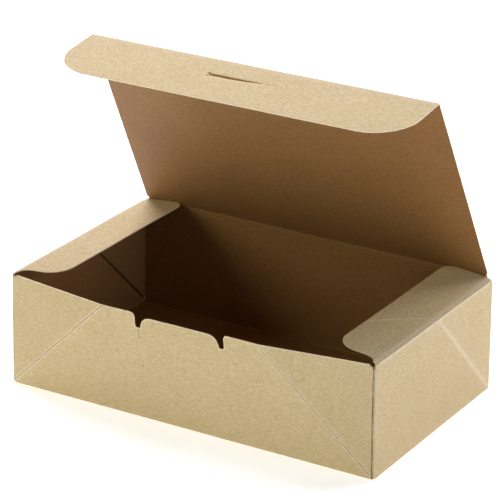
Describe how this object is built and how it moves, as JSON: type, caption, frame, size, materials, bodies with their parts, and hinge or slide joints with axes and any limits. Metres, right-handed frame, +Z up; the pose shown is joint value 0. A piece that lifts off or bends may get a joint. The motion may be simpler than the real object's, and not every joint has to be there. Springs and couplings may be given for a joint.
{
  "type": "takeaway box",
  "caption": "Pop-up kraft board takeaway box with diagonal corner creases, side dust flaps and a hinged lid whose tuck flap has a locking slit.",
  "frame": {"origin": "centre of the base's underside, where the box stands", "axes": "+Z up, +X along the box's length to its right end, -Y towards the front wall; the lid hinges along X at the back"},
  "size_m": [0.2, 0.1263, 0.1618],
  "materials": {
    "kraft_board": "uncoated matt brown kraft board"
  },
  "bodies": {
    "tray": {"tray": "kraft_board"},
    "lid": {"lid": "kraft_board"},
    "tuck_flap": {"tuck_flap": "kraft_board"}
  },
  "joints": [
    {"name": "lid_hinge", "type": "hinge", "parent": "tray", "child": "lid", "pos_m": [0, 0.05878, 0.05908], "axis": [-1, 0, 0], "range_deg": [-62, 118]},
    {"name": "tuck_fold", "type": "hinge", "parent": "lid", "child": "tuck_flap", "pos_m": [0, 0.00425, 0.16163], "axis": [1, 0, 0], "range_deg": [-69.6, 36.6]}
  ],
  "couplings": [
    {"joint": "tuck_fold", "follows": "lid_hinge", "ratio": -0.58889}
  ]
}
